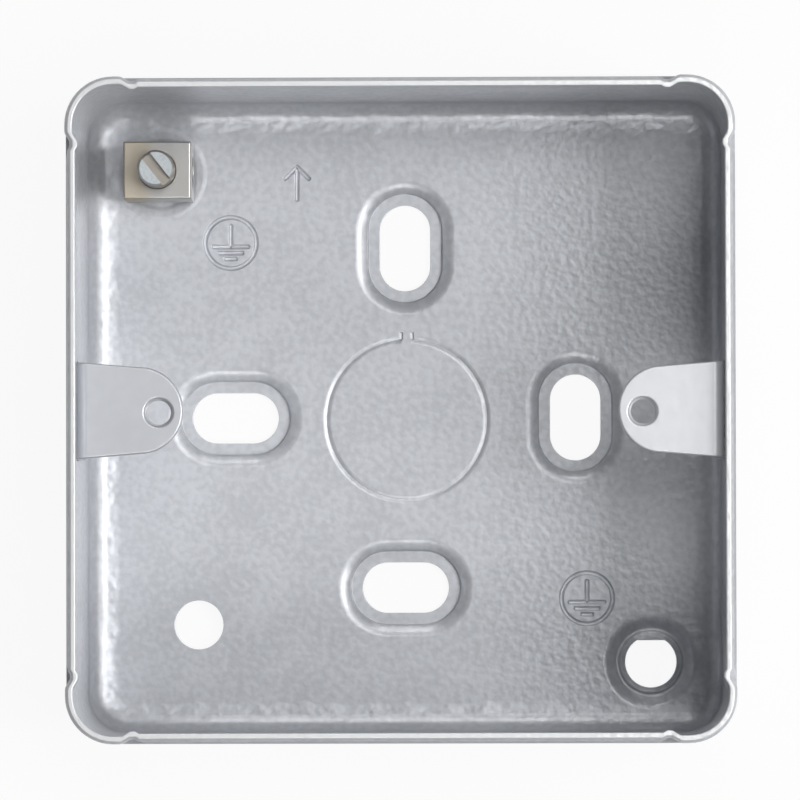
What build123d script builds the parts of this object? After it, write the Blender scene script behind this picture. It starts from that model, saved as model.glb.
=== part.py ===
from build123d import *
from math import asin, atan2, degrees, radians, tan
import os

# Steel surface back box for one wiring accessory, open to the front.
# Millimetres. +Z points out of the open front, +Y is up as the box hangs on a wall.
# The origin is the middle of the plane that the feet of the base rest on.

# Pressed box
box_width = 83.4
box_height = 83.0
box_depth = 40.0
sheet = 1.0
corner_radius = 6.0
base_bend = 2.6
emboss_depth = 1.4

# Swaged rim: each straight side steps inwards between the corners, with a deeper crimp at each end
swage_inset = 0.35
swage_height = 3.0
swage_margin = 8.4
swage_end_run = 1.6
swage_low_run = 0.5
crimp_depth = 0.28
crimp_floor = 0.6
crimp_run = 1.1
rim_roll = 0.4
rim_burr_edge = 0.12

# Fixing slots in sunk oval recesses
# The shoulder of a recess turns over in steps, each with its share of the depth and its slope in degrees
slot_length = 11.1
slot_width = 6.5
slot_spacing = 43.8
recess_margin = 1.45
shoulder_steps = [(0.55, 76.0), (0.30, 30.0), (0.15, 14.0)]
foot_margin = 1.9
foot_slope = 55.0

# Terminal seats: round dishes with a hole that has one flat, and a raised lip where no terminal is staked
seat_inset_x = 10.15
seat_inset_y = 9.95
seat_radius = 6.25
seat_floor_radius = 4.3
seat_bend = 0.25
seat_hole_diameter = 6.6
seat_flat_distance = 2.78
lip_radius = 3.95
lip_height = 0.16
lip_run = 0.35

# Plain round hole in the lower left corner of the base
round_hole_diameter = 6.3
round_hole_inset_x = 15.05
round_hole_inset_y = 14.85

# Knockouts: discs sheared part way through the sheet, which leaves a groove with one bridge
knockout_diameter = 20.65
knockout_height = 18.0
knockout_shift_x = 0.2
knockout_shift_y = -0.25
shear_width = 1.2
shear_depth = 0.28
shear_bridge = 1.4
shear_tick_length = 0.9
shear_tick_width = 0.4

# Lugs for the accessory screws
lug_spacing = 60.3
lug_drop = 3.0
lug_sheet = 1.5
lug_bend = 0.2
lug_width = 12.2
lug_nose_radius = 5.4
lug_nose_reach = 3.05
lug_leg = 7.5
lug_leg_round = 2.0
lug_hole_diameter = 3.5
lug_hole_drop = 0.25

# Earth terminal
block_length = 8.7
block_width = 7.4
block_height = 8.0
block_lift = 0.2
block_chamfer = 0.2
wire_hole_diameter = 4.2
wire_hole_floor = 0.9
shoulder_clearance = 0.7
spigot_clearance = 0.05
spigot_recess = 0.15
stake_diameter = 4.0
stake_depth = 0.6

# Clamping screw of the earth terminal
screw_diameter = 4.7
thread_clearance = 0.05
screw_stand = 4.8
screw_tip_lift = 0.2
screw_point_diameter = 3.4
screw_point_length = 0.6
screw_top_chamfer = 0.3
screw_slot_width = 1.3
screw_slot_depth = 1.1
screw_slot_angle = -52.0

# Planes and radii that follow from the sizes above
outer_face = box_width / 2
inner_face = outer_face - sheet
outer_top = box_height / 2
back_z = emboss_depth
floor_z = emboss_depth + sheet
above_rim = 1.0
hair = 0.001
seat_run = seat_radius - seat_floor_radius
dish_rise = emboss_depth + 0.5
seat_skin = sheet * tan(atan2(emboss_depth, seat_run) / 2)
seat_x = outer_face - seat_inset_x
seat_y = outer_top - seat_inset_y
round_hole_x = outer_face - round_hole_inset_x
round_hole_y = outer_top - round_hole_inset_y
slot_offset = slot_spacing / 2

# Every slot with the angle of its long side
slot_places = [
    Location((0, slot_offset, 0), (0, 0, 90)),
    Location((slot_offset, 0, 0), (0, 0, 90)),
    Location((0, -slot_offset, 0), (0, 0, 0)),
    Location((-slot_offset, 0, 0), (0, 0, 0)),
]

# Outer face of each wall by its angle: right, top, left and bottom
walls = {0: outer_face, 90: outer_top, 180: outer_face, 270: outer_top}

# The spare seat is lower right, the one that carries the terminal upper left
spare_seat = Location((seat_x, -seat_y, 0), (0, 0, 0))
earth_seat = Location((-seat_x, seat_y, 0), (0, 0, 180))


def side_plane(angle, distance, height=0):
    """Plane parallel to one wall, with its x along the wall, its y to the front and its normal outwards."""
    along = Vector(0, 1, 0).rotate(Axis.Z, angle)
    outwards = Vector(1, 0, 0).rotate(Axis.Z, angle)
    return Plane(origin=outwards * distance + Vector(0, 0, height), x_dir=along, z_dir=outwards)


def rounded_block(form, skin, low_z, high_z):
    """Block with round corners and a rounded bottom edge, inside the outer faces by a skin."""
    with BuildSketch(Plane.XY.offset(low_z)) as outline:
        RectangleRounded(box_width - 2 * skin, box_height - 2 * skin, corner_radius - skin)
    extrude(outline.sketch, amount=high_z - low_z)
    fillet(form.faces().sort_by(Axis.Z)[0].edges(), base_bend + sheet - skin)


def swage_panels(skin):
    """Shallow wedge-sided panels and crimps round the rim, pressed in from the faces inside a skin."""
    low_edge = box_depth - swage_height
    for angle, wall in walls.items():
        face = wall - skin
        half_length = walls[(angle + 90) % 360] - swage_margin
        crimp_inset = swage_inset + crimp_depth
        panel = (0, half_length, swage_end_run, swage_inset)
        crimps = [(side * half_length, crimp_floor / 2, crimp_run, crimp_inset) for side in (-1, 1)]
        for middle, half_floor, end_run, inset in [panel] + crimps:
            ends = []
            for step in (0, 2):
                reach = half_floor + step * end_run
                bottom = low_edge - step * swage_low_run
                height = box_depth + 2 * above_rim - bottom
                with BuildSketch(side_plane(angle, face + (step - 1) * inset)) as end:
                    with Locations((middle, bottom)):
                        Rectangle(2 * reach, height, align=(Align.CENTER, Align.MIN))
                ends.append(end.sketch)
            loft(ends, ruled=True, mode=Mode.SUBTRACT)


def oval_pressings(level, margin, steps):
    """Ovals around the slots that rise from a level and widen by steps of a share and a slope."""
    for share, slope in steps:
        height = share * emboss_depth
        with BuildSketch(Plane.XY.offset(level)) as ovals:
            with Locations(slot_places):
                SlotOverall(slot_length + 2 * margin, slot_width + 2 * margin)
        extrude(ovals.sketch, amount=height, taper=slope - 90)
        level += height
        margin += height / tan(radians(slope))


def dish(seat, level, skin):
    """Conical dish at a seat, from a flat floor to above the flat of the base, wider by a skin."""
    centre = seat.position + Vector(0, 0, level)
    floor_radius = seat_floor_radius + skin
    edge_radius = floor_radius + seat_run * dish_rise / emboss_depth
    with BuildSketch(Plane(origin=centre, x_dir=(1, 0, 0), z_dir=(0, -1, 0))) as profile:
        with BuildLine():
            Polyline((0, 0), (floor_radius, 0), (edge_radius, dish_rise), (0, dish_rise), close=True)
        make_face()
    revolve(profile.sketch, axis=Axis(centre, (0, 0, 1)))


def seat_lip(seat):
    """Low ridge round the hole of a seat, left by the punch."""
    centre = seat.position + Vector(0, 0, sheet)
    with BuildSketch(Plane(origin=centre, x_dir=(1, 0, 0), z_dir=(0, -1, 0))) as ridge:
        with BuildLine():
            crest = (lip_radius, lip_height)
            Polyline((lip_radius - lip_run, 0), crest, (lip_radius + lip_run, 0), close=True)
        make_face()
    revolve(ridge.sketch, axis=Axis(centre, (0, 0, 1)))


def dish_floor_edges(form):
    """Round edges of the dish floors, on the inner face of the sheet."""
    centres = [seat.position + Vector(0, 0, sheet) for seat in (spare_seat, earth_seat)]
    rings = form.edges().filter_by(GeomType.CIRCLE)
    return rings.filter_by(lambda ring: min((ring.arc_center - spot).length for spot in centres) < hair)


def shear_groove(plane):
    """Groove around a knockout, open at one bridge, with a short tick on each side of the bridge."""
    radius = knockout_diameter / 2
    half_bridge = degrees(asin(shear_bridge / knockout_diameter))
    axis = Axis(plane.origin, plane.z_dir)
    start = plane.y_dir.rotate(Axis((0, 0, 0), plane.z_dir), half_bridge)
    section_plane = Plane(origin=plane.origin, x_dir=start, z_dir=start.cross(plane.z_dir))
    with BuildSketch(section_plane) as section:
        with BuildLine():
            groove_top = (radius + shear_width, shear_depth), (radius - shear_width, shear_depth)
            Polyline((radius, -shear_depth), *groove_top, close=True)
        make_face()
    revolve(section.sketch, axis=axis, revolution_arc=360 - 2 * half_bridge, mode=Mode.SUBTRACT)
    with BuildSketch(plane) as ticks:
        with Locations((-shear_bridge / 2, radius), (shear_bridge / 2, radius)):
            Rectangle(shear_tick_width, shear_tick_length, align=(Align.CENTER, Align.MIN))
    extrude(ticks.sketch, amount=-shear_depth, mode=Mode.SUBTRACT)


def seat_hole_outline(plane, clearance):
    """Round hole with one flat, smaller all round by a clearance."""
    with BuildSketch(plane) as hole:
        Circle(seat_hole_diameter / 2 - clearance)
        with Locations((0, seat_flat_distance - clearance)):
            flat_side = (Align.CENTER, Align.MIN)
            Rectangle(seat_hole_diameter, seat_hole_diameter, align=flat_side, mode=Mode.SUBTRACT)
    return hole.sketch


# Outer form of the pressing, with the feet that the sunk shapes make behind the base
with BuildPart() as outer_form:
    rounded_block(outer_form, 0, back_z, box_depth)
    swage_panels(0)
    oval_pressings(0, foot_margin, [(1.0, foot_slope)])
    for seat in (spare_seat, earth_seat):
        dish(seat, 0, seat_skin)

# Inner form of the pressing, taken out of the outer form
with BuildPart() as inner_form:
    rounded_block(inner_form, sheet, floor_z, box_depth + above_rim)
    swage_panels(sheet)
    oval_pressings(sheet, recess_margin, shoulder_steps)
    for seat in (spare_seat, earth_seat):
        dish(seat, sheet, 0)
    chamfer(dish_floor_edges(inner_form), seat_bend)

# Box: one drawn and pierced pressing
with BuildPart() as box_body:
    add(outer_form.part)
    add(inner_form.part, mode=Mode.SUBTRACT)
    seat_lip(spare_seat)
    with BuildSketch():
        with Locations(slot_places):
            SlotOverall(slot_length, slot_width)
        with Locations((-round_hole_x, -round_hole_y)):
            Circle(round_hole_diameter / 2)
    extrude(amount=floor_z + above_rim, mode=Mode.SUBTRACT)
    for seat in (spare_seat, earth_seat):
        extrude(seat_hole_outline(Plane(seat), 0), amount=floor_z, mode=Mode.SUBTRACT)
    shear_groove(Plane((knockout_shift_x, knockout_shift_y, floor_z)))
    shear_groove(Plane((knockout_shift_x, knockout_shift_y, back_z), x_dir=(-1, 0, 0), z_dir=(0, 0, -1)))
    for angle, wall in walls.items():
        shear_groove(side_plane(angle, wall, knockout_height))
    chamfer(box_body.faces().sort_by(Axis.Z)[-1].outer_wire().edges(), rim_roll)
    chamfer(box_body.faces().sort_by(Axis.Z)[-1].inner_wires()[0].edges(), rim_burr_edge)

# Lug: bent bracket whose leg lies flat on the inside of a wall
lug_z = box_depth - lug_drop
lug_hole_x = lug_spacing / 2
nose_x = lug_hole_x - lug_nose_reach
nose_centre_x = nose_x + lug_nose_radius
lug_outer_bend = lug_bend + lug_sheet
with BuildPart() as right_lug:
    with BuildSketch(Plane.XZ):
        with BuildLine():
            top = Line((nose_x, lug_z), (inner_face - lug_outer_bend, lug_z))
            outer_bend = JernArc(top @ 1, top % 1, lug_outer_bend, -90)
            back = Line(outer_bend @ 1, (inner_face, lug_z - lug_leg))
            foot = Line(back @ 1, (inner_face - lug_sheet, lug_z - lug_leg))
            front = Line(foot @ 1, (inner_face - lug_sheet, lug_z - lug_outer_bend))
            inner_bend = JernArc(front @ 1, front % 1, lug_bend, 90)
            Polyline(inner_bend @ 1, (nose_x, lug_z - lug_sheet), (nose_x, lug_z))
        make_face()
    extrude(amount=lug_width / 2, both=True)
    leg_corners = right_lug.faces().sort_by(Axis.Z)[0].edges().filter_by(Axis.X)
    fillet(leg_corners, lug_leg_round)
    with BuildSketch(Plane.XY.offset(lug_z)):
        with BuildLine():
            nose = CenterArc((nose_centre_x, 0), lug_nose_radius, 90, 180)
            Polyline(nose @ 1, (inner_face, -lug_width / 2), (inner_face, lug_width / 2), nose @ 0)
        make_face()
        with Locations((lug_hole_x, -lug_hole_drop)):
            Circle(lug_hole_diameter / 2, mode=Mode.SUBTRACT)
    extrude(amount=-lug_leg, mode=Mode.INTERSECT)

with BuildPart() as left_lug:
    add(mirror(right_lug.part, about=Plane.YZ))

# Earth terminal: brass block on a shoulder, with a spigot staked through the seat
block_z = floor_z + block_lift
block_top = block_z + block_height
wire_hole_z = block_z + wire_hole_floor + wire_hole_diameter / 2
seat_plane = Plane(earth_seat)
with BuildPart() as earth_terminal_block:
    with BuildSketch(seat_plane.offset(block_z)):
        Rectangle(block_length, block_width)
    extrude(amount=block_height)
    chamfer(earth_terminal_block.faces().sort_by(Axis.Z)[-1].edges(), block_chamfer)
    with BuildSketch(seat_plane.offset(sheet)):
        Circle(seat_floor_radius - shoulder_clearance)
    extrude(amount=block_z - sheet)
    spigot = seat_hole_outline(seat_plane.offset(spigot_recess), spigot_clearance)
    extrude(spigot, amount=sheet - spigot_recess)
    with Locations(seat_plane.offset(spigot_recess)):
        upwards = (Align.CENTER, Align.CENTER, Align.MIN)
        Cone(stake_diameter / 2, 0, stake_depth, align=upwards, mode=Mode.SUBTRACT)
    with BuildSketch(Plane(origin=earth_seat.position + Vector(0, 0, wire_hole_z), z_dir=(1, 0, 0))):
        Circle(wire_hole_diameter / 2)
    extrude(amount=block_length, both=True, mode=Mode.SUBTRACT)
    with BuildSketch(seat_plane.offset(wire_hole_z)):
        Circle(screw_diameter / 2 + thread_clearance)
    extrude(amount=block_height, mode=Mode.SUBTRACT)

# Clamping screw: headless, slotted, with a plain point
tip_z = wire_hole_z + wire_hole_diameter / 2 + screw_tip_lift
screw_top = block_top + screw_stand
with BuildPart() as earth_terminal_screw:
    with BuildSketch(seat_plane.offset(tip_z)):
        Circle(screw_point_diameter / 2)
    extrude(amount=screw_point_length)
    with BuildSketch(seat_plane.offset(tip_z + screw_point_length)):
        Circle(screw_diameter / 2)
    extrude(amount=screw_top - tip_z - screw_point_length)
    chamfer(earth_terminal_screw.faces().sort_by(Axis.Z)[-1].edges(), screw_top_chamfer)
    with BuildSketch(seat_plane.offset(screw_top)):
        Rectangle(2 * screw_diameter, screw_slot_width, rotation=screw_slot_angle)
    extrude(amount=-screw_slot_depth, mode=Mode.SUBTRACT)

os.makedirs("parts", exist_ok=True)
pieces = {
    "box_body": box_body,
    "left_lug": left_lug,
    "right_lug": right_lug,
    "earth_terminal_block": earth_terminal_block,
    "earth_terminal_screw": earth_terminal_screw,
}
for name, piece in pieces.items():
    piece.part.label = name
    export_step(piece.part, f"parts/{name}.step")
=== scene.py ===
"""Finishes, fine forms, light and camera of a pressed steel surface back box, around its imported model."""

import logging
import math
from dataclasses import dataclass, replace
from enum import Enum
from typing import Any, Dict, List, Optional, Sequence, Tuple, Union

import bmesh
import bpy
from mathutils import Matrix, Vector


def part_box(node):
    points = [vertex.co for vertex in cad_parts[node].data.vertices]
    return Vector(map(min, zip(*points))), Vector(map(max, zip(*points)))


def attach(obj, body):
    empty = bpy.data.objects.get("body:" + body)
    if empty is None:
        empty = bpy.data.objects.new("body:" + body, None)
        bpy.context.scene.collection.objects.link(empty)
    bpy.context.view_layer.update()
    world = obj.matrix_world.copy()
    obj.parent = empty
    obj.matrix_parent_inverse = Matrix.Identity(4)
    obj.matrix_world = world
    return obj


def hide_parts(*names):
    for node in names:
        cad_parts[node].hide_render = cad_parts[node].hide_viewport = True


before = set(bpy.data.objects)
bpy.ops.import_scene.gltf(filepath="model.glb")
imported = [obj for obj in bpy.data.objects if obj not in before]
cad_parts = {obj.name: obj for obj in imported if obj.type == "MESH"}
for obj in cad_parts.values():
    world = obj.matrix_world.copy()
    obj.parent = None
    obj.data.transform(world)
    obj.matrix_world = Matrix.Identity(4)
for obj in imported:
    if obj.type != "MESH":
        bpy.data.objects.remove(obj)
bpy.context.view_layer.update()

log = logging.getLogger("back_box")

MM = 0.001
MEAN_NOISE = 0.5

Point = Tuple[float, float, float]
Colour = Tuple[float, float, float]


class Body(Enum):
    """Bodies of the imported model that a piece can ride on."""

    BOX = "box"
    SCREW = "clamping_screw"


class Slot(Enum):
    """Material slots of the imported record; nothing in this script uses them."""

    LUG = "lug_steel"
    PLATING = "screw_plating"


class Kind(Enum):
    """What a wire carries: one number for each point of a surface, or a vector or colour."""

    NUMBER = "ShaderNodeMath"
    VECTOR = "ShaderNodeVectorMath"


class Wire:
    """An output socket whose Python operators add Math or Vector Math nodes."""

    def __init__(self, tree: "ShaderTree", socket: bpy.types.NodeSocket, kind: Kind = Kind.NUMBER) -> None:
        """Wraps a socket.

        Args:
            tree: the shader tree that the socket is in.
            socket: an output socket of one of its nodes.
            kind: what the socket carries.
        """
        self.tree = tree
        self.socket = socket
        self.kind = kind

    def maths(self, operation: str, *terms: Any) -> "Wire":
        """Adds one maths node.

        Args:
            operation: the node's operation.
            terms: its inputs in order, wires or numbers.

        Returns:
            The node's result.
        """
        node = self.tree.node(self.kind.value, {"operation": operation}, dict(enumerate(terms)))
        return Wire(self.tree, node.outputs[0], self.kind)

    def __add__(self, other: Any) -> "Wire":
        """This plus another."""
        return self.maths("ADD", self, other)

    def __radd__(self, other: Any) -> "Wire":
        """Another plus this."""
        return self.maths("ADD", other, self)

    def __sub__(self, other: Any) -> "Wire":
        """This minus another."""
        return self.maths("SUBTRACT", self, other)

    def __rsub__(self, other: Any) -> "Wire":
        """Another minus this."""
        return self.maths("SUBTRACT", other, self)

    def __mul__(self, other: Any) -> "Wire":
        """This times another."""
        return self.maths("MULTIPLY", self, other)

    def __rmul__(self, other: Any) -> "Wire":
        """Another times this."""
        return self.maths("MULTIPLY", other, self)

    def __truediv__(self, other: Any) -> "Wire":
        """This divided by another."""
        return self.maths("DIVIDE", self, other)

    def larger(self, other: Any) -> "Wire":
        """The larger of this and another."""
        return self.maths("MAXIMUM", self, other)

    def size(self) -> "Wire":
        """This without its sign."""
        return self.maths("ABSOLUTE", self)

    def root(self) -> "Wire":
        """The square root of this."""
        return self.maths("SQRT", self)

    def smooth_step(self, low: float, high: float) -> "Wire":
        """Rises smoothly from 0 where this is low to 1 where it is high.

        Args:
            low: value that gives 0.
            high: value that gives 1.

        Returns:
            The mask from 0 to 1.
        """
        sockets = {"Value": self, "From Min": low, "From Max": high}
        node = self.tree.node("ShaderNodeMapRange", {"interpolation_type": "SMOOTHSTEP"}, sockets)
        return Wire(self.tree, node.outputs[0])


class ShaderTree:
    """Node tree of one material, with one Principled shader."""

    def __init__(self, name: str) -> None:
        """Makes the material.

        Args:
            name: the material's name.
        """
        self.material = bpy.data.materials.new(name)
        self.material.use_nodes = True
        self.nodes = self.material.node_tree.nodes
        self.links = self.material.node_tree.links
        self.nodes.clear()
        self.output = self.node("ShaderNodeOutputMaterial")

    def node(self, kind: str, settings: Optional[Dict[str, Any]] = None,
             sockets: Optional[Dict[Any, Any]] = None) -> bpy.types.Node:
        """Adds a node.

        Args:
            kind: the node's type.
            settings: attributes that are set first.
            sockets: values or links of its inputs, by number, identifier or name.

        Returns:
            The new node.
        """
        node = self.nodes.new(kind)
        for name, value in (settings or {}).items():
            setattr(node, name, value)
        for name, value in (sockets or {}).items():
            self.feed(self.find_input(node, name), value)
        return node

    @staticmethod
    def find_input(node: bpy.types.Node, name: Union[int, str]) -> bpy.types.NodeSocket:
        """Finds an input socket.

        Args:
            node: the node.
            name: the socket's number, identifier or name.

        Returns:
            The socket.
        """
        if isinstance(name, int):
            return node.inputs[name]
        by_identifier = [socket for socket in node.inputs if socket.identifier == name]
        return by_identifier[0] if by_identifier else node.inputs[name]

    def feed(self, socket: bpy.types.NodeSocket, value: Any) -> None:
        """Gives an input its link or its value.

        Args:
            socket: the input.
            value: a wire or socket to link, or a plain value.
        """
        if isinstance(value, Wire):
            self.links.new(value.socket, socket)
        elif isinstance(value, bpy.types.NodeSocket):
            self.links.new(value, socket)
        elif socket.type == "RGBA" and len(value) == 3:
            socket.default_value = (*value, 1.0)
        else:
            socket.default_value = value

    def place(self) -> Wire:
        """Point of the surface in the part's own frame, in metres."""
        return Wire(self, self.node("ShaderNodeTexCoord").outputs["Object"], Kind.VECTOR)

    def axis(self, vector: Wire, name: str) -> Wire:
        """One coordinate of a vector, named X, Y or Z."""
        return Wire(self, self.node("ShaderNodeSeparateXYZ", None, {0: vector}).outputs[name])

    def stretch(self, vector: Wire, factors: Point) -> Wire:
        """A vector with each coordinate multiplied by its own factor."""
        return vector.maths("MULTIPLY", vector, factors)

    def noise(self, place: Wire, grain: float, detail: float = 2.0, roughness: float = 0.5) -> Wire:
        """Soft noise.

        Args:
            place: the point of the surface.
            grain: size of one grain in metres.
            detail: finer layers added to it.
            roughness: strength of those layers.

        Returns:
            The noise, about 0 to 1.
        """
        sockets = {"Vector": place, "Scale": 1.0 / grain, "Detail": detail, "Roughness": roughness}
        return Wire(self, self.node("ShaderNodeTexNoise", None, sockets).outputs[0])

    def blend(self, mask: Wire, first: Any, second: Any) -> Wire:
        """Colour that goes from the first to the second.

        Args:
            mask: 0 for the first colour, 1 for the second.
            first: a colour or a colour wire.
            second: a colour or a colour wire.

        Returns:
            The mixed colour.
        """
        sockets = {"Factor_Float": mask, "A_Color": first, "B_Color": second}
        node = self.node("ShaderNodeMix", {"data_type": "RGBA"}, sockets)
        return Wire(self, next(s for s in node.outputs if s.identifier == "Result_Color"), Kind.VECTOR)

    def bump(self, height: Wire, depth: float, strength: float = 1.0) -> Wire:
        """Surface normal of a small relief.

        Args:
            height: the relief, from 0 to 1.
            depth: how deep a height of 1 is, in metres.
            strength: share of the relief that shows.

        Returns:
            The normal.
        """
        sockets = {"Height": height, "Distance": depth, "Strength": strength}
        return Wire(self, self.node("ShaderNodeBump", None, sockets).outputs[0], Kind.VECTOR)

    def surface(self, sockets: Dict[str, Any]) -> bpy.types.Material:
        """Ends the tree with a Principled shader.

        Args:
            sockets: values and links of the shader.

        Returns:
            The finished material.
        """
        shader = self.node("ShaderNodeBsdfPrincipled", None, sockets)
        self.links.new(shader.outputs[0], self.output.inputs["Surface"])
        return self.material


class Finish:
    """A finish that can be laid on a piece.

    Attributes:
        name: name of its material, which all pieces with this finish share.
    """

    name: str

    def material(self) -> bpy.types.Material:
        """The finish as a node material."""
        raise NotImplementedError

    def lay_on(self, piece: bpy.types.Object) -> None:
        """Puts the finish on a piece in place of what it had.

        Args:
            piece: a mesh object.
        """
        material = bpy.data.materials.get(self.name) or self.material()
        if not piece.material_slots:
            piece.data.materials.append(material)
        for place in piece.material_slots:
            place.link = "OBJECT"
            place.material = material


@dataclass(frozen=True)
class SilverPaint(Finish):
    """Aluminium-coloured paint on steel, with an orange-peel surface, a thin gloss on top and a painted
    highlight on the rim.

    Attributes:
        name: name of the material.
        colour: the paint where it is thick and clean.
        thin: the paint where it is thin.
        metallic: share of metal flake.
        roughness: mean roughness of the flake.
        gloss: weight of the clear layer on top.
        gloss_roughness: roughness of that layer.
        peel: size of one lump of orange peel, in metres.
        peel_height: height of the lumps, in metres.
        flow: size of the patches where the paint ran thick or thin, in metres.
        mottle: strength of the thick and thin patches.
        lump_detail: strength of the finer layers in the lumps.
        flake_scale: size of a flake as a share of a lump.
        flake_relief: share of the flakes in the relief.
        thin_shares: shares of the lumps, the flow and the flakes in where the paint is thin.
        thin_span: cover from which the paint is thick, and from which it is thin.
        thin_dulling: share of the gloss that thin paint lacks.
        flow_roughness: how much the roughness follows the flow.
        flake_roughness: how much it follows the flakes.
        rim_highlight_colour: painted highlight, a lighter colour laid on the top of the rim where it catches
            the light.
        rim_from: height where the painted highlight on the rim begins, in metres.
        rim_to: height from which it is all painted highlight, in metres.
        foot: half width and half height of the line where the flat of the base meets the bend, in metres.
        foot_round: radius of that line at the corners, in metres.
        pool: how far the paint that gathered there reaches to each side of the line, in metres.
        pool_height: thickness of the gathered paint, in metres.
        pool_wander: how much its edge wanders, in metres.
        pool_bay: length of one bay of that edge, in metres.
        earth_seat: middle of the seat under the terminal, in metres.
        fill_span: distances from its middle between which the paint gathered in it rises, in metres.
        fill_height: thickness of that paint, in metres.
        spare_seat: middle of the empty seat, in metres.
        lip_span: distances from its middle between which the lip of its hole rolls over, in metres.
        lip_height: how far the lip rolls over, in metres.
        coarse_span: places along X between which the orange peel grows coarser, in metres.
        calm: share of the lumps' height on the calm side.
        coarse: share of the lumps' height on the coarse side.
    """

    name: str = "silver_paint"
    colour: Colour = (0.556, 0.57, 0.602)
    thin: Colour = (0.487, 0.50, 0.527)
    metallic: float = 0.4
    roughness: float = 0.42
    gloss: float = 0.7
    gloss_roughness: float = 0.15
    peel: float = 0.85 * MM
    peel_height: float = 0.06 * MM
    flow: float = 7.0 * MM
    mottle: float = 1.0
    lump_detail: float = 0.35
    flake_scale: float = 0.25
    flake_relief: float = 0.05
    thin_shares: Tuple[float, float, float] = (0.55, 0.35, 0.1)
    thin_span: Tuple[float, float] = (0.62, 0.38)
    thin_dulling: float = 0.4
    flow_roughness: float = 0.08
    flake_roughness: float = 0.04
    rim_highlight_colour: Colour = (0.71, 0.72, 0.73)
    rim_from: float = 39.8 * MM
    rim_to: float = 39.97 * MM
    foot: Tuple[float, float] = (38.1 * MM, 37.9 * MM)
    foot_round: float = 2.4 * MM
    pool: float = 1.3 * MM
    pool_height: float = 0.3 * MM
    pool_wander: float = 0.9 * MM
    pool_bay: float = 2.86 * MM
    earth_seat: Tuple[float, float] = (-31.55 * MM, 31.55 * MM)
    fill_span: Tuple[float, float] = (6.2 * MM, 4.3 * MM)
    fill_height: float = 0.95 * MM
    spare_seat: Tuple[float, float] = (31.55 * MM, -31.55 * MM)
    lip_span: Tuple[float, float] = (4.6 * MM, 3.2 * MM)
    lip_height: float = 0.5 * MM
    coarse_span: Tuple[float, float] = (3.0 * MM, 33.0 * MM)
    calm: float = 0.42
    coarse: float = 1.85

    def gathered(self, tree: ShaderTree, place: Wire) -> Wire:
        """Relief of the paint that gathered along the foot of the walls.

        Args:
            tree: the material's tree.
            place: the point of the surface.

        Returns:
            The relief, from 0 on the base to 1 in the bend.
        """
        reaches = []
        for name, half in zip("XY", self.foot):
            reaches.append((tree.axis(place, name).size() - (half - self.foot_round)).larger(0.0))
        along, across = reaches
        outside = (along * along + across * across).root() - self.foot_round
        wander = (tree.noise(place, self.pool_bay) - MEAN_NOISE) * (2.0 * self.pool_wander)
        return (outside + wander).smooth_step(-self.pool, self.pool)

    @staticmethod
    def from_middle(tree: ShaderTree, place: Wire, middle: Tuple[float, float]) -> Wire:
        """Level distance from the middle of a seat.

        Args:
            tree: the material's tree.
            place: the point of the surface.
            middle: the seat's middle, along X and Y.

        Returns:
            The distance in metres.
        """
        along = tree.axis(place, "X") - middle[0]
        across = tree.axis(place, "Y") - middle[1]
        return (along * along + across * across).root()

    def in_seats(self, tree: ShaderTree, place: Wire) -> Wire:
        """Relief of the paint in the seat under the terminal and on the lip of the spare seat.

        Args:
            tree: the material's tree.
            place: the point of the surface.

        Returns:
            The relief in metres.
        """
        fill = self.from_middle(tree, place, self.earth_seat).smooth_step(*self.fill_span)
        lip = self.from_middle(tree, place, self.spare_seat).smooth_step(*self.lip_span)
        return fill * self.fill_height + lip * self.lip_height

    def material(self) -> bpy.types.Material:
        """The paint as a node material."""
        tree = ShaderTree(self.name)
        place = tree.place()
        lumps = tree.noise(place, self.peel, detail=1.0, roughness=self.lump_detail)
        flow = tree.noise(place, self.flow)
        flake = tree.noise(place, self.peel * self.flake_scale, detail=1.0)
        lump_share, flow_share, flake_share = self.thin_shares
        cover = lump_share * lumps + flow_share * flow + flake_share * flake
        thin = self.mottle * cover.smooth_step(*self.thin_span)
        # The top of the rim gets a lighter colour: a painted highlight where it catches the light.
        rim = tree.axis(place, "Z").smooth_step(self.rim_from, self.rim_to)
        coarse = self.calm + (self.coarse - self.calm) * tree.axis(place, "X").smooth_step(*self.coarse_span)
        grain = (lumps * (1 - self.flake_relief) + flake * self.flake_relief) * coarse * self.peel_height
        relief = grain + self.gathered(tree, place) * self.pool_height + self.in_seats(tree, place)
        uneven = (flow - MEAN_NOISE) * self.flow_roughness + (flake - MEAN_NOISE) * self.flake_roughness
        return tree.surface({
            "Base Color": tree.blend(rim, tree.blend(thin, self.colour, self.thin), self.rim_highlight_colour),
            "Metallic": self.metallic,
            "Roughness": self.roughness + uneven,
            "Coat Weight": self.gloss * (1 - self.thin_dulling * thin),
            "Coat Roughness": self.gloss_roughness,
            "Normal": tree.bump(relief / MM, MM),
        })


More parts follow.
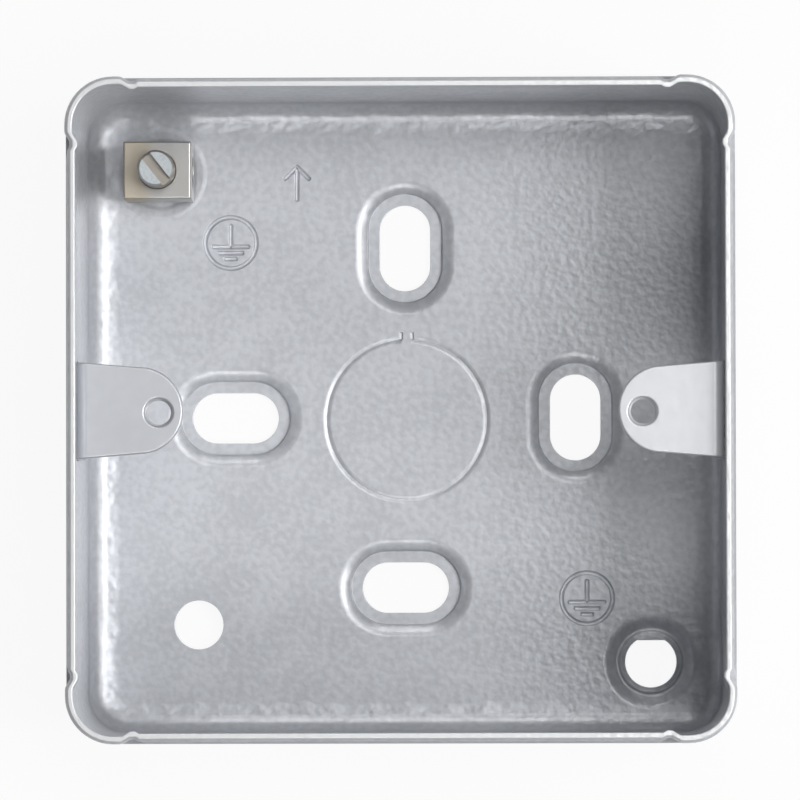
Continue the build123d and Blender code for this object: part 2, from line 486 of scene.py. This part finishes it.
@dataclass(frozen=True)
class MilledBrass(Finish):
    """Brass with fine parallel tool marks and slight tarnish, darkened towards its left side by painted
    shade.

    Attributes:
        name: name of the material.
        bright: fresh brass.
        dull: tarnished brass, which also stands as painted shade on the left side.
        mark: distance between tool marks, in metres.
        mark_height: height of the tool marks, in metres.
        stain: size of the tarnished patches, in metres.
        lit_side: place along X from which the brass has no painted shade, in metres.
        shaded_side: place along X from which the painted shade of the left side is full, in metres.
        mark_stretch: factors that draw the tool marks out along X.
        tarnish_and_shade_shares: shares of the patches, the tool marks and the painted shade of the left side
            in the tarnish and shade.
        tarnish_and_shade_span: sum of those from which the brass is fresh, and from which it takes the dull
            colour in full.
        metallic: share of metal.
        roughness: roughness of fresh brass.
        tarnish_roughness: how much rougher tarnished brass is.
    """

    name: str = "milled_brass"
    bright: Colour = (0.47, 0.465, 0.45)
    dull: Colour = (0.43, 0.385, 0.315)
    mark: float = 0.12 * MM
    mark_height: float = 0.006 * MM
    stain: float = 2.2 * MM
    lit_side: float = -29.5 * MM
    shaded_side: float = -35.5 * MM
    mark_stretch: Point = (0.06, 1.0, 1.0)
    tarnish_and_shade_shares: Tuple[float, float, float] = (0.45, 0.1, 0.45)
    tarnish_and_shade_span: Tuple[float, float] = (0.36, 0.68)
    metallic: float = 0.75
    roughness: float = 0.34
    tarnish_roughness: float = 0.14

    def material(self) -> bpy.types.Material:
        """The brass as a node material."""
        tree = ShaderTree(self.name)
        place = tree.place()
        stains = tree.noise(place, self.stain, detail=3.0)
        marks = tree.noise(tree.stretch(place, self.mark_stretch), self.mark, detail=1.0)
        # Painted shade: the block grows darker towards its left side, and this mask joins the tarnish below.
        side = tree.axis(place, "X").smooth_step(self.lit_side, self.shaded_side)
        stain_share, mark_share, shade_share = self.tarnish_and_shade_shares
        handled = stains * stain_share + marks * mark_share + side * shade_share
        tarnish = handled.smooth_step(*self.tarnish_and_shade_span)
        return tree.surface({
            "Base Color": tree.blend(tarnish, self.bright, self.dull),
            "Metallic": self.metallic,
            "Roughness": self.roughness + self.tarnish_roughness * tarnish,
            "Normal": tree.bump(marks, self.mark_height),
        })


@dataclass(frozen=True)
class ZincPlating(Finish):
    """Bright zinc plating over a turned steel screw, with painted shade below its top.

    Attributes:
        name: name of the material.
        bright: clean plating.
        dull: plating in handled places.
        hollow_shade: painted shade, a darker colour laid on the screw below its top, in the driver slot and
            on the thread.
        grain: size of the plating's crystals, in metres.
        top: height of the screw's top, in metres.
        hollow_shade_start: depth below the top where the painted shade begins, in metres.
        hollow_shade_depth: depth below the top from which it shows in full, in metres.
        patch: size of the dull patches, in metres.
        dull_shares: shares of the crystals and the patches in where the plating is dull.
        dull_span: sum of those from which the plating is clean, and from which it is dull.
        metallic: share of metal.
        roughness: roughness of clean plating.
        dull_roughness: how much rougher dull plating is.
        crystal_height: height of the crystals, in metres.
    """

    name: str = "zinc_plating"
    bright: Colour = (0.54, 0.58, 0.60)
    dull: Colour = (0.47, 0.50, 0.51)
    hollow_shade: Colour = (0.40, 0.37, 0.33)
    grain: float = 0.35 * MM
    top: float = 15.4 * MM
    hollow_shade_start: float = 0.15 * MM
    hollow_shade_depth: float = 0.5 * MM
    patch: float = 1.4 * MM
    dull_shares: Tuple[float, float] = (0.4, 0.6)
    dull_span: Tuple[float, float] = (0.42, 0.64)
    metallic: float = 0.8
    roughness: float = 0.34
    dull_roughness: float = 0.1
    crystal_height: float = 0.003 * MM

    def material(self) -> bpy.types.Material:
        """The plating as a node material."""
        tree = ShaderTree(self.name)
        place = tree.place()
        crystals = tree.noise(place, self.grain)
        patches = tree.noise(place, self.patch)
        crystal_share, patch_share = self.dull_shares
        dull = (crystal_share * crystals + patch_share * patches).smooth_step(*self.dull_span)
        # Painted shade: all of the screw more than a little below its top, slot and thread alike, takes the
        # darker colour.
        below = tree.axis(place, "Z").smooth_step(self.top - self.hollow_shade_start, self.top - self.hollow_shade_depth)
        return tree.surface({
            "Base Color": tree.blend(below, tree.blend(dull, self.bright, self.dull), self.hollow_shade),
            "Metallic": self.metallic,
            "Roughness": self.roughness + self.dull_roughness * dull,
            "Normal": tree.bump(crystals, self.crystal_height),
        })


@dataclass(frozen=True)
class StudioFloor(Finish):
    """Plain white floor that keeps a soft shadow of what stands on it.

    Attributes:
        name: name of the material.
        colour: the floor's own colour.
        glow: share of plain white that a camera, a gloss or a glass sees.
    """

    name: str = "studio_floor"
    colour: Colour = (0.7, 0.7, 0.7)
    glow: float = 0.92

    def material(self) -> bpy.types.Material:
        """The floor as a node material."""
        tree = ShaderTree(self.name)
        path = tree.node("ShaderNodeLightPath").outputs
        seen = Wire(tree, path["Is Camera Ray"])
        for ray in ("Is Glossy Ray", "Is Transmission Ray"):
            seen = seen.larger(Wire(tree, path[ray]))
        white = tree.node("ShaderNodeEmission", None, {"Color": (1.0, 1.0, 1.0), "Strength": 1.0})
        plain = tree.node("ShaderNodeBsdfDiffuse", None, {"Color": self.colour})
        shares = {0: seen * self.glow, 1: plain.outputs[0], 2: white.outputs[0]}
        mix = tree.node("ShaderNodeMixShader", None, shares)
        tree.links.new(mix.outputs[0], tree.output.inputs["Surface"])
        return tree.material


def ring_solid(name: str, rings: Sequence[Sequence[Vector]], closed: bool = False) -> bpy.types.Object:
    """Closed mesh through rings of points.

    Args:
        name: name of the object.
        rings: rings with the same number of points each, in order.
        closed: joins the last ring to the first, in place of a cap on each.

    Returns:
        The object, with its place in its mesh.
    """
    count = len(rings[0])
    mesh = bpy.data.meshes.new(name)
    form = bmesh.new()
    rows = [[form.verts.new(point) for point in ring] for ring in rings]
    pairs = list(zip(rows, rows[1:]))
    if closed:
        pairs.append((rows[-1], rows[0]))
    else:
        form.faces.new(rows[0])
        form.faces.new(rows[-1])
    for low, high in pairs:
        for here in range(count):
            after = (here + 1) % count
            form.faces.new((low[here], low[after], high[after], high[here]))
    bmesh.ops.recalc_face_normals(form, faces=form.faces)
    form.to_mesh(mesh)
    form.free()
    piece = bpy.data.objects.new(name, mesh)
    bpy.context.scene.collection.objects.link(piece)
    return piece


def circle(radius: float, height: float, count: int, centre: Vector = Vector()) -> List[Vector]:
    """Points of a level circle.

    Args:
        radius: its radius.
        height: its height above the centre.
        count: number of points.
        centre: middle that it lies round.

    Returns:
        The points, anticlockwise from +X.
    """
    turns = [math.tau * step / count for step in range(count)]
    return [centre + Vector((radius * math.cos(turn), radius * math.sin(turn), height)) for turn in turns]


@dataclass(frozen=True)
class Engraving:
    """Lines that a punch has pressed into the flat of the base.

    Attributes:
        width: width of a line at the surface, in metres.
        floor_width: width of its floor, in metres.
        depth: its depth, in metres.
        above: how far the cutting form stands out of the surface, in metres.
        round_points: points of the round ends and rings.
    """

    width: float = 0.6 * MM
    floor_width: float = 0.28 * MM
    depth: float = 0.32 * MM
    above: float = 0.05 * MM
    round_points: int = 64

    def levels(self) -> List[Tuple[float, float]]:
        """Half width and height of the cutting form at its top and at its floor."""
        slope = (self.width - self.floor_width) / (2 * self.depth)
        return [(self.width / 2 + slope * self.above, self.above), (self.floor_width / 2, -self.depth)]

    def line(self, name: str, start: Vector, end: Vector) -> bpy.types.Object:
        """Cutting form of one straight line with round ends.

        Args:
            name: name of the object.
            start: one end of the line, on the surface.
            end: the other end.

        Returns:
            The cutting form.
        """
        along = (end - start).normalized()
        across = Vector((-along.y, along.x, 0.0))
        steps = self.round_points // 4
        turns = [math.pi * step / steps for step in range(steps + 1)]
        rings = []
        for half, height in self.levels():
            far = [end + half * (along * math.sin(turn) - across * math.cos(turn)) for turn in turns]
            near = [start - half * (along * math.sin(turn) - across * math.cos(turn)) for turn in turns]
            rings.append([point + Vector((0.0, 0.0, height)) for point in far + near])
        return ring_solid(name, rings)

    def ring(self, name: str, centre: Vector, radius: float) -> bpy.types.Object:
        """Cutting form of one round line.

        Args:
            name: name of the object.
            centre: its middle, on the surface.
            radius: radius of the middle of the line.

        Returns:
            The cutting form.
        """
        (top, above), (floor, below) = self.levels()
        corners = [(radius - top, above), (radius + top, above)]
        corners += [(radius + floor, below), (radius - floor, below)]
        rings = [circle(reach, height, self.round_points, centre) for reach, height in corners]
        return ring_solid(name, rings, closed=True)


@dataclass(frozen=True)
class EarthSign:
    """The general sign of a protective earth: a stem on three bars in a circle.

    Attributes:
        radius: radius of the circle, in metres.
        stem_top: height of the stem's upper end above the middle, in metres.
        bar_heights: height of each bar above the middle, in metres.
        bar_lengths: length of each bar, in metres.
    """

    radius: float = 3.3 * MM
    stem_top: float = 2.2 * MM
    bar_heights: Tuple[float, ...] = (-0.5 * MM, -1.3 * MM, -2.05 * MM)
    bar_lengths: Tuple[float, ...] = (4.4 * MM, 2.9 * MM, 1.2 * MM)

    def cut(self, name: str, tool: Engraving, centre: Vector) -> List[bpy.types.Object]:
        """Cutting forms of the sign.

        Args:
            name: start of the objects' names.
            tool: how the lines are pressed.
            centre: middle of the sign, on the surface.

        Returns:
            The cutting forms.
        """
        forms = [tool.ring(f"{name}_ring", centre, self.radius)]
        stem = [centre + Vector((0.0, height, 0.0)) for height in (self.stem_top, self.bar_heights[0])]
        forms.append(tool.line(f"{name}_stem", *stem))
        for order, (height, length) in enumerate(zip(self.bar_heights, self.bar_lengths)):
            ends = [centre + Vector((side * length / 2, height, 0.0)) for side in (-1, 1)]
            forms.append(tool.line(f"{name}_bar_{order}", *ends))
        return forms


@dataclass(frozen=True)
class UpArrow:
    """Plain arrow that shows which side goes up.

    Attributes:
        height: length of the stem, in metres.
        head: reach of the two strokes of the head, in metres.
    """

    height: float = 4.2 * MM
    head: float = 1.5 * MM

    def cut(self, name: str, tool: Engraving, centre: Vector) -> List[bpy.types.Object]:
        """Cutting forms of the arrow.

        Args:
            name: start of the objects' names.
            tool: how the lines are pressed.
            centre: middle of the arrow, on the surface.

        Returns:
            The cutting forms.
        """
        tip = centre + Vector((0.0, self.height / 2, 0.0))
        forms = [tool.line(f"{name}_stem", tip, centre - Vector((0.0, self.height / 2, 0.0)))]
        for side, word in ((-1, "left"), (1, "right")):
            forms.append(tool.line(f"{name}_{word}", tip, tip + Vector((side * self.head, -self.head, 0.0))))
        return forms


@dataclass(frozen=True)
class Thread:
    """Screw thread.

    Attributes:
        major: largest diameter, in metres.
        minor: smallest diameter, in metres.
        pitch: rise of one turn, in metres.
        points: points round one turn.
        rows: rows of points to one pitch.
        flank: steepness of the flanks.
        root: share of the height that the flat root takes away.
    """

    major: float
    minor: float
    pitch: float
    points: int = 72
    rows: int = 10
    flank: float = 1.3
    root: float = 0.15

    def ring(self, centre: Vector, height: float, near_end: float) -> List[Vector]:
        """Points of the thread at one height.

        Args:
            centre: a point on the axis.
            height: height above it.
            near_end: 1 where the thread is whole, 0 where it has run out.

        Returns:
            The points, anticlockwise from +X.
        """
        points = []
        for step in range(self.points):
            share = step / self.points
            phase = (height / self.pitch - share) % 1.0
            crest = min(max(self.flank * (1.0 - abs(2.0 * phase - 1.0)) - self.root, 0.0), 1.0)
            radius = (self.minor + (self.major - self.minor) * crest * near_end) / 2
            turn = share * math.tau
            points.append(centre + Vector((radius * math.cos(turn), radius * math.sin(turn), height)))
        return points

    def heights(self, length: float) -> List[float]:
        """Heights of the rows over a length of thread."""
        count = max(2, round(length / self.pitch * self.rows))
        return [length * step / count for step in range(count + 1)]


@dataclass(frozen=True)
class EdgeWork:
    """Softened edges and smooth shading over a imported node, by modifiers.

    Attributes:
        weld: points nearer than this become one, in metres.
        flat: faces that turn less than this against each other become one, in radians.
        width: width of the softened edges, in metres.
        steps: faces across a softened edge.
        limit: edges that turn more than this are softened, in radians.
        smooth: edges that turn less than this shade smoothly, in radians.
    """

    weld: float = 0.002 * MM
    flat: float = math.radians(0.5)
    width: float = 0.07 * MM
    steps: int = 2
    limit: float = math.radians(40)
    smooth: float = math.radians(36)

    @staticmethod
    def shading_group(angle: float) -> bpy.types.GeometryNodeTree:
        """Geometry nodes that shade a mesh smoothly up to an angle and drop stored normals.

        Args:
            angle: edges that turn less than this shade smoothly, in radians.

        Returns:
            The node group.
        """
        name = f"smooth_shading_{round(math.degrees(angle))}"
        group = bpy.data.node_groups.get(name)
        if group:
            return group
        group = bpy.data.node_groups.new(name, "GeometryNodeTree")
        group.interface.new_socket("Geometry", in_out="INPUT", socket_type="NodeSocketGeometry")
        group.interface.new_socket("Geometry", in_out="OUTPUT", socket_type="NodeSocketGeometry")
        start = group.nodes.new("NodeGroupInput")
        end = group.nodes.new("NodeGroupOutput")
        bare = group.nodes.new("GeometryNodeRemoveAttribute")
        bare.inputs["Name"].default_value = "custom_normal"
        faces = group.nodes.new("GeometryNodeSetShadeSmooth")
        edges = group.nodes.new("GeometryNodeSetShadeSmooth")
        edges.domain = "EDGE"
        turn = group.nodes.new("GeometryNodeInputMeshEdgeAngle")
        test = group.nodes.new("FunctionNodeCompare")
        test.operation = "LESS_THAN"
        test.inputs["B"].default_value = angle
        group.links.new(turn.outputs["Unsigned Angle"], test.inputs["A"])
        group.links.new(test.outputs[0], edges.inputs["Shade Smooth"])
        group.links.new(start.outputs[0], bare.inputs[0])
        group.links.new(bare.outputs[0], faces.inputs[0])
        group.links.new(faces.outputs[0], edges.inputs[0])
        group.links.new(edges.outputs[0], end.inputs[0])
        return group

    def apply(self, piece: bpy.types.Object, cutters: Optional[bpy.types.Collection] = None) -> None:
        """Adds the modifiers.

        Args:
            piece: the object to dress.
            cutters: forms that are pressed or cut into it.
        """
        weld = piece.modifiers.new("Weld", "WELD")
        weld.merge_threshold = self.weld
        flats = piece.modifiers.new("Flats", "DECIMATE")
        flats.decimate_type = "DISSOLVE"
        flats.angle_limit = self.flat
        if cutters:
            cut = piece.modifiers.new("Cut", "BOOLEAN")
            cut.operation = "DIFFERENCE"
            cut.operand_type = "COLLECTION"
            cut.collection = cutters
            cut.solver = "EXACT"
        bevel = piece.modifiers.new("Soft edges", "BEVEL")
        bevel.width = self.width
        bevel.segments = self.steps
        bevel.limit_method = "ANGLE"
        bevel.angle_limit = self.limit
        bevel.use_clamp_overlap = False
        self.shade(piece)

    def shade(self, piece: bpy.types.Object) -> None:
        """Adds the smooth shading alone.

        Args:
            piece: the object to dress.
        """
        shading = piece.modifiers.new("Shading", "NODES")
        shading.node_group = self.shading_group(self.smooth)
        normals = piece.modifiers.new("Normals", "WEIGHTED_NORMAL")
        normals.keep_sharp = True


@dataclass
class BoxBody:
    """The painted pressing, with the signs that are pressed into its base and the marks of the lugs' welds.

    Attributes:
        paint: its finish.
        edges: how its edges are softened.
        tool: how the signs are pressed.
        floor_height: height of the inner face of the base, in metres.
        sign_places: middle of each earth sign, in metres.
        arrow_place: middle of the arrow, in metres.
        weld_radius: radius of a weld mark, in metres.
        weld_depth: its depth, in metres.
        weld_spread: distance of a lug's two weld marks from its middle, in metres.
        weld_height: height of the weld marks, in metres.
        weld_rings: rings of points in the form of a weld mark.
        weld_points: points in each of those rings.
        weld_spill: width of the cutting form outside the wall, as a share of the mark.
    """

    paint: SilverPaint = SilverPaint()
    edges: EdgeWork = EdgeWork()
    tool: Engraving = Engraving()
    floor_height: float = 2.4 * MM
    sign_places: Tuple[Tuple[float, float], ...] = ((-22.46 * MM, 22.6 * MM), (23.34 * MM, -23.36 * MM))
    arrow_place: Tuple[float, float] = (-13.9 * MM, 30.3 * MM)
    weld_radius: float = 1.9 * MM
    weld_depth: float = 0.14 * MM
    weld_spread: float = 3.2 * MM
    weld_height: float = 32.6 * MM
    weld_rings: int = 6
    weld_points: int = 40
    weld_spill: float = 1.15

    def weld_mark(self, name: str, side: int, along: float) -> bpy.types.Object:
        """Cutting form of one shallow round weld mark on an outer wall.

        Args:
            name: name of the object.
            side: 1 for the right wall, -1 for the left one.
            along: distance from the middle of the wall.

        Returns:
            The cutting form.
        """
        low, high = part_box("box_body")
        wall = high.x if side > 0 else low.x
        outwards = Matrix.Rotation(side * math.pi / 2, 4, "Y")
        turn = Matrix.Translation((wall, along, self.weld_height)) @ outwards
        rings = [circle(self.weld_radius * self.weld_spill, self.weld_depth, self.weld_points)]
        for step in range(self.weld_rings):
            share = 1.0 - step / self.weld_rings
            sunk = self.weld_depth * math.sqrt(1.0 - share ** 2)
            rings.append(circle(self.weld_radius * share, -sunk, self.weld_points))
        return ring_solid(name, [[turn @ point for point in ring] for ring in rings])

    def cutters(self) -> bpy.types.Collection:
        """Hidden forms of all that is pressed into the box."""
        spots = [Vector((*place, self.floor_height)) for place in self.sign_places]
        forms = []
        for word, spot in zip(("upper", "lower"), spots):
            forms += EarthSign().cut(f"{word}_earth_sign", self.tool, spot)
        forms += UpArrow().cut("up_arrow", self.tool, Vector((*self.arrow_place, self.floor_height)))
        for side, word in ((-1, "left"), (1, "right")):
            for along in (-self.weld_spread, self.weld_spread):
                forms.append(self.weld_mark(f"{word}_weld_{round(along / MM)}", side, along))
        hidden = bpy.data.collections.new("pressed_marks")
        for form in forms:
            form.hide_render = True
            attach(form, Body.BOX.value)
            hidden.objects.link(form)
        return hidden

    def dress(self) -> None:
        """Presses the marks into the box and lays its finish on it."""
        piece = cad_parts["box_body"]
        self.edges.apply(piece, self.cutters())
        self.paint.lay_on(piece)
        log.info("box_body dressed")


@dataclass
class Lugs:
    """The two brackets for the accessory screws, with their tapped holes.

    Attributes:
        paint: finish of the left bracket.
        lit_paint: finish of the right bracket, a lighter copy of the left bracket's paint that stands as
            painted light for the stronger light on it.
        edges: how their edges are softened.
        thread: thread of the holes.
        sheet: thickness of the brackets, in metres.
        hole_spacing: distance between the two holes, in metres.
        hole_drop: how far the holes lie below the middle of the brackets, in metres.
        run_out: length over which the thread fades at each end, in metres.
        sleeve_skin: how far the thread's sleeve reaches into the bracket, in metres.
    """

    paint: SilverPaint = SilverPaint(name="lug_paint", peel=1.6 * MM, peel_height=0.012 * MM, mottle=0.3,
                                     pool_height=0.0)
    # Painted light: the right bracket takes a lighter copy of the same paint, which stands for the stronger
    # light on it.
    lit_paint: SilverPaint = replace(paint, name="lit_lug_paint", colour=(0.62, 0.63, 0.655),
                                       thin=(0.56, 0.57, 0.59))
    edges: EdgeWork = EdgeWork(width=0.3 * MM, steps=4)
    thread: Thread = Thread(major=3.5 * MM, minor=3.0 * MM, pitch=0.6 * MM)
    sheet: float = 1.5 * MM
    hole_spacing: float = 60.3 * MM
    hole_drop: float = 0.25 * MM
    run_out: float = 0.2 * MM
    sleeve_skin: float = 0.004 * MM

    def tapped_thread(self, name: str, side: int) -> bpy.types.Object:
        """Thread inside the hole of one bracket.

        Args:
            name: name of the bracket's node.
            side: 1 for the right bracket, -1 for the left one.

        Returns:
            The thread as a closed sleeve.
        """
        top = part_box(name)[1].z
        length = self.sheet - 2 * self.edges.width
        foot = Vector((side * self.hole_spacing / 2, -self.hole_drop, top - self.sheet + self.edges.width))
        grooves = Thread(self.thread.minor, self.thread.major, self.thread.pitch)
        rings = []
        for height in grooves.heights(length):
            whole = min(min(height, length - height) / self.run_out, 1.0)
            ring = grooves.ring(foot, height, 1.0)
            wide = circle(self.thread.major / 2, height, grooves.points, foot)
            rings.append([far.lerp(near, whole) for far, near in zip(wide, ring)])
        skin = self.thread.major / 2 + self.sleeve_skin
        rings.append(circle(skin, length, grooves.points, foot))
        rings.append(circle(skin, 0.0, grooves.points, foot))
        return ring_solid(f"{name}_thread", rings, closed=True)

    def dress(self) -> None:
        """Taps both brackets and lays their finish on them."""
        for name, side, paint in (("left_lug", -1, self.paint), ("right_lug", 1, self.lit_paint)):
            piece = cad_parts[name]
            self.edges.apply(piece)
            paint.lay_on(piece)
            thread = self.tapped_thread(name, side)
            paint.lay_on(thread)
            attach(thread, Body.BOX.value)
            log.info("%s dressed, with %s", name, thread.name)


@dataclass
class EarthTerminal:
    """Brass block with its clamping screw.

    Attributes:
        brass: finish of the block.
        plating: finish of the screw.
        edges: how their edges are softened.
        thread: thread of the clamping screw.
        point_length: length of the screw's plain point, in metres.
        point_diameter: diameter of the point, in metres.
        point_chamfer: chamfer round the point, in metres.
        top_chamfer: chamfer round the screw's top, in metres.
        slot_width: width of the driver slot, in metres.
        slot_depth: depth of the driver slot, in metres.
        slot_turn: angle of the driver slot at rest, in radians.
    """

    brass: MilledBrass = MilledBrass()
    plating: ZincPlating = ZincPlating()
    edges: EdgeWork = EdgeWork(width=0.1 * MM)
    thread: Thread = Thread(major=4.7 * MM, minor=3.95 * MM, pitch=0.8 * MM)
    point_length: float = 0.6 * MM
    point_diameter: float = 3.4 * MM
    point_chamfer: float = 0.1 * MM
    top_chamfer: float = 0.3 * MM
    slot_width: float = 1.3 * MM
    slot_depth: float = 1.1 * MM
    slot_turn: float = math.radians(-52.0)

    def slot_cutter(self, centre: Vector) -> bpy.types.Object:
        """Hidden form of the driver slot.

        Args:
            centre: middle of the screw's top.

        Returns:
            The cutting form.
        """
        turn = Matrix.Translation(centre) @ Matrix.Rotation(self.slot_turn, 4, "Z")
        reach, half = self.thread.major, self.slot_width / 2
        corners = [(-reach, -half), (reach, -half), (reach, half), (-reach, half)]
        heights = (-self.slot_depth, self.slot_depth)
        rings = [[turn @ Vector((x, y, height)) for x, y in corners] for height in heights]
        cutter = ring_solid("driver_slot", rings)
        cutter.hide_render = True
        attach(cutter, Body.SCREW.value)
        return cutter

    def clamping_screw(self) -> bpy.types.Object:
        """The clamping screw with its thread, point and driver slot."""
        low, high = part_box("earth_terminal_screw")
        axis = Vector(((low.x + high.x) / 2, (low.y + high.y) / 2, low.z))
        length = high.z - low.z
        thread_foot = axis + Vector((0.0, 0.0, self.point_length))
        thread_length = length - self.point_length
        count = self.thread.points
        tip = self.point_diameter / 2
        rings = [circle(tip - self.point_chamfer, 0.0, count, axis)]
        rings += [circle(tip, height, count, axis) for height in (self.point_chamfer, self.point_length)]
        for height in self.thread.heights(thread_length - self.top_chamfer):
            rings.append(self.thread.ring(thread_foot, height, 1.0))
        rings.append(circle(self.thread.major / 2 - self.top_chamfer, length, count, axis))
        screw = ring_solid("clamping_screw_threaded", rings)
        cut = screw.modifiers.new("Driver slot", "BOOLEAN")
        cut.solver = "EXACT"
        cut.object = self.slot_cutter(Vector((axis.x, axis.y, high.z)))
        return screw

    def dress(self) -> None:
        """Lays the finishes on the block and the screw."""
        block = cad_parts["earth_terminal_block"]
        self.edges.apply(block)
        self.brass.lay_on(block)
        log.info("earth_terminal_block dressed")
        screw = self.clamping_screw()
        self.edges.shade(screw)
        self.plating.lay_on(screw)
        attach(screw, Body.SCREW.value)
        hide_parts("earth_terminal_screw")
        log.info("%s dressed", screw.name)


@dataclass(frozen=True)
class Softbox:
    """A flat soft light that faces the box.

    Attributes:
        name: name of the lamp.
        tilt: its angle from straight above the box, in degrees.
        bearing: its direction seen from above, anticlockwise from the right, in degrees.
        power: its power in watts.
        width: its side along the circle round the box, in metres.
        height: its other side, in metres.
        distance: its distance from the box, in metres.
    """

    name: str
    tilt: float
    bearing: float
    power: float
    width: float = 0.4
    height: float = 0.4
    distance: float = 1.15

    def hang(self, aim: Vector) -> None:
        """Adds the lamp to the scene.

        Args:
            aim: point that it faces.
        """
        data = bpy.data.lights.new(self.name, "AREA")
        data.shape = "RECTANGLE"
        data.size = self.height
        data.size_y = self.width
        data.energy = self.power
        lamp = bpy.data.objects.new(self.name, data)
        swing = Matrix.Rotation(math.radians(self.bearing), 4, "Z")
        turn = swing @ Matrix.Rotation(math.radians(self.tilt), 4, "Y")
        lamp.matrix_world = Matrix.Translation(aim) @ turn @ Matrix.Translation((0.0, 0.0, self.distance))
        bpy.context.scene.collection.objects.link(lamp)


@dataclass
class Studio:
    """Floor, light and camera.

    Attributes:
        floor_size: length of the floor's side, in metres.
        floor_gap: how far the floor lies below the feet, in metres.
        ambient: level of the light from all round.
        aim_height: height of the point that the softboxes face, in metres.
        camera_position: where the camera stands, in metres.
        camera_target: point that it looks at, in metres.
        camera_roll: its turn about its own line of sight, in radians.
        lens: focal length in millimetres.
        sensor: width of the image in the camera, in millimetres.
        nearest: distance from which the camera sees, in metres.
        floor_finish: finish of the floor.
        softboxes: the lamps.
    """

    floor_size: float = 6.0
    floor_gap: float = 0.05 * MM
    ambient: float = 0.05
    aim_height: float = 15.0 * MM
    camera_position: Point = (17.0 * MM, -28.0 * MM, 1000 * MM)
    camera_target: Point = (-0.68 * MM, 2.264 * MM, 2.4 * MM)
    camera_roll: float = math.radians(-0.143)
    lens: float = 348.4
    sensor: float = 36.0
    nearest: float = 0.01
    floor_finish: StudioFloor = StudioFloor()
    softboxes: Tuple[Softbox, ...] = (
        Softbox("key_right", tilt=31, bearing=0, power=6.2, width=0.5),
        Softbox("low_right", tilt=57, bearing=342, power=4.7, width=0.5),
        Softbox("top_fill", tilt=46, bearing=90, power=2.4),
        Softbox("bottom_fill", tilt=30, bearing=272, power=2.7),
        Softbox("over_top", tilt=16, bearing=50, power=1.9),
    )

    def lay_floor(self) -> None:
        """Adds the floor as one flat sheet."""
        mesh = bpy.data.meshes.new("studio_floor")
        half = self.floor_size / 2
        corners = [(-half, -half), (half, -half), (half, half), (-half, half)]
        mesh.from_pydata([(x, y, -self.floor_gap) for x, y in corners], [], [(0, 1, 2, 3)])
        floor = bpy.data.objects.new("studio_floor", mesh)
        bpy.context.scene.collection.objects.link(floor)
        self.floor_finish.lay_on(floor)

    def light(self) -> None:
        """Hangs the softboxes and sets the even light from all round."""
        for softbox in self.softboxes:
            softbox.hang(Vector((0.0, 0.0, self.aim_height)))
        world = bpy.data.worlds.new("studio")
        world.use_nodes = True
        background = world.node_tree.nodes["Background"]
        background.inputs["Color"].default_value = (1.0, 1.0, 1.0, 1.0)
        background.inputs["Strength"].default_value = self.ambient
        bpy.context.scene.world = world

    def place_camera(self) -> None:
        """Adds the camera, which looks down into the box with +Y up in the picture."""
        data = bpy.data.cameras.new("camera")
        data.sensor_width = self.sensor
        data.lens = self.lens
        data.clip_start = self.nearest
        camera = bpy.data.objects.new("camera", data)
        position = Vector(self.camera_position)
        back = (position - Vector(self.camera_target)).normalized()
        right = Vector((0.0, 1.0, 0.0)).cross(back).normalized()
        basis = Matrix((right, back.cross(right), back)).transposed().to_4x4()
        camera.matrix_world = Matrix.Translation(position) @ basis @ Matrix.Rotation(self.camera_roll, 4, "Z")
        bpy.context.scene.collection.objects.link(camera)
        bpy.context.scene.camera = camera

    def set_up(self) -> None:
        """Adds the whole studio."""
        self.lay_floor()
        self.light()
        self.place_camera()
        bpy.context.scene.view_settings.view_transform = "Standard"
        log.info("studio set up")


def main() -> None:
    """Builds the pieces in order, then the studio."""
    logging.basicConfig(level=logging.INFO, format="%(name)s: %(message)s")
    BoxBody().dress()
    Lugs().dress()
    EarthTerminal().dress()
    Studio().set_up()


if __name__ == "__main__":
    main()
